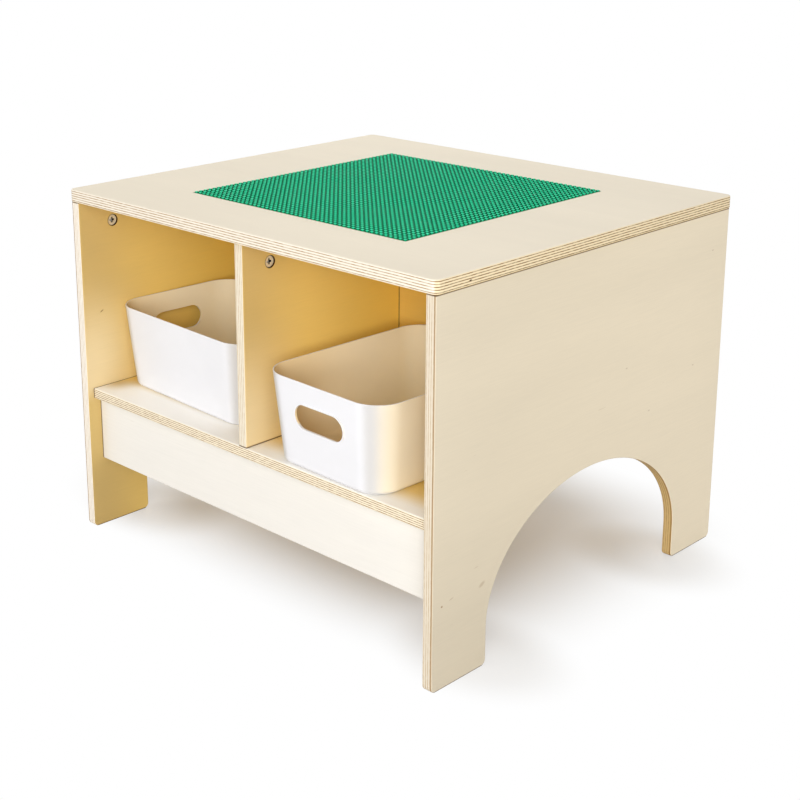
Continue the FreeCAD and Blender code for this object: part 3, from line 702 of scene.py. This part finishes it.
def floor():
    """White floor that keeps a soft shadow under the table and is plain white further out."""
    mesh = bpy.data.meshes.new("floor")
    corners = [(x * FLOOR_RADIUS, y * FLOOR_RADIUS, 0.0) for x, y in ((-1, -1), (1, -1), (1, 1), (-1, 1))]
    mesh.from_pydata(corners, [], [range(len(corners))])
    obj = bpy.data.objects.new("floor", mesh)
    scene.collection.objects.link(obj)
    finish = Finish("floor")
    finish.set(Base_Color=FLOOR_COLOUR, Roughness=FLOOR_ROUGHNESS, Specular_IOR_Level=0.0)
    shares = []
    feet = []
    for axis in (AXIS_X, AXIS_Y):
        place = finish.at(axis)
        off_middle = finish.math("SUBTRACT", place, SHADOW_MIDDLE[axis])
        share = finish.math("DIVIDE", off_middle, SHADOW_REACH[axis])
        shares.append(finish.math("POWER", share, SHADOW_POWER))
        off_foot = finish.math("SUBTRACT", finish.size(place), FOOT_MIDDLE[axis])
        feet.append(finish.math("POWER", finish.math("DIVIDE", off_foot, FOOT_REACH[axis]), 2.0))
    share = finish.math("POWER", finish.math("ADD", *shares), 1 / SHADOW_POWER)
    foot = finish.math("SQRT", finish.math("ADD", *feet))
    bare = finish.math("SUBTRACT", finish.step(share, *SHADOW_SHARES, SHADOW_LIFT, 1.0),
                       finish.step(foot, FOOT_CORE, 1.0, FOOT_SHADE, 0.0))
    glow = finish.nodes.new("ShaderNodeEmission")
    blend = finish.nodes.new("ShaderNodeMixShader")
    finish.put(blend.inputs[0], finish.math("MULTIPLY", bare, sees_white(finish.nodes, finish.links)))
    finish.put(blend.inputs[1], finish.surface.outputs[0])
    finish.put(blend.inputs[2], glow.outputs[0])
    finish.put(finish.nodes["Material Output"].inputs["Surface"], blend.outputs[0])
    mesh.materials.append(finish.material)


def world():
    """Even white light all round, which cameras, gloss and glass see as plain white."""
    scene.world = bpy.data.worlds.new("studio")
    scene.world.use_nodes = True
    nodes = scene.world.node_tree.nodes
    links = scene.world.node_tree.links
    blend = nodes.new("ShaderNodeMixShader")
    links.new(sees_white(nodes, links), blend.inputs[0])
    for number, node, strength in ((1, nodes["Background"], WORLD_LIGHT),
                                   (2, nodes.new("ShaderNodeBackground"), 1.0)):
        node.inputs["Color"].default_value = WHITE
        node.inputs["Strength"].default_value = strength
        links.new(node.outputs[0], blend.inputs[number])
    links.new(blend.outputs[0], nodes["World Output"].inputs["Surface"])


# Lamps: the place, the size and the share of full light that each gives
LAMP_TARGET = (0.0, 0.0, 0.3)
LAMPS = {"front": ((2.9, -2.9, 1.6), 2.8, 0.48),
         "fill": ((2.3, -2.9, 1.15), 1.2, 0.27),
         "rear": ((-2.9, 2.9, 1.6), 2.8, 0.42),
         "rear_fill": ((-2.3, 2.9, 1.15), 1.2, 0.16),
         "key": ((-1.9, -2.4, 2.1), 1.6, 0.13),
         "top": ((0.0, 0.0, 3.2), 2.4, 0.2)}


def lights():
    """Square soft boxes that point at the table: two in front, two behind, a key and one above."""
    for name, (place, size, level) in LAMPS.items():
        toward = Vector(LAMP_TARGET) - Vector(place)
        light = bpy.data.lights.new(name, "AREA")
        light.size = size
        light.energy = level * math.pi ** 2 * toward.length_squared
        obj = bpy.data.objects.new(name, light)
        obj.location = place
        obj.rotation_euler = toward.to_track_quat("-Z", "Y").to_euler()
        obj.visible_glossy = False
        scene.collection.objects.link(obj)


# Camera of the photograph, taken as an image of 800 by 800 pixels
IMAGE_SIZE = 800
FOCAL_PIXELS = 1494.4
AXIS_PIXEL = (368.6, 273.5)
CAMERA_PLACE = (1.3793, -1.4774, 0.9436)
CAMERA_AZIMUTH = 44.17
CAMERA_ELEVATION = 15.3
SENSOR_WIDTH = 36.0


def camera():
    """Camera at the photograph's place, with its framing."""
    data = bpy.data.cameras.new("camera")
    data.sensor_width = SENSOR_WIDTH
    data.lens = SENSOR_WIDTH * FOCAL_PIXELS / IMAGE_SIZE
    data.shift_x = 0.5 - AXIS_PIXEL[0] / IMAGE_SIZE
    data.shift_y = AXIS_PIXEL[1] / IMAGE_SIZE - 0.5
    data.clip_end = 2 * FLOOR_RADIUS
    obj = bpy.data.objects.new("camera", data)
    obj.location = CAMERA_PLACE
    obj.rotation_euler = (math.radians(90 - CAMERA_ELEVATION), 0.0, math.radians(CAMERA_AZIMUTH))
    scene.collection.objects.link(obj)
    scene.camera = obj


top_board()
side_boards()
shelf_board()
inner_boards()
small_parts()
floor()
world()
lights()
camera()
scene.view_settings.view_transform = "Standard"
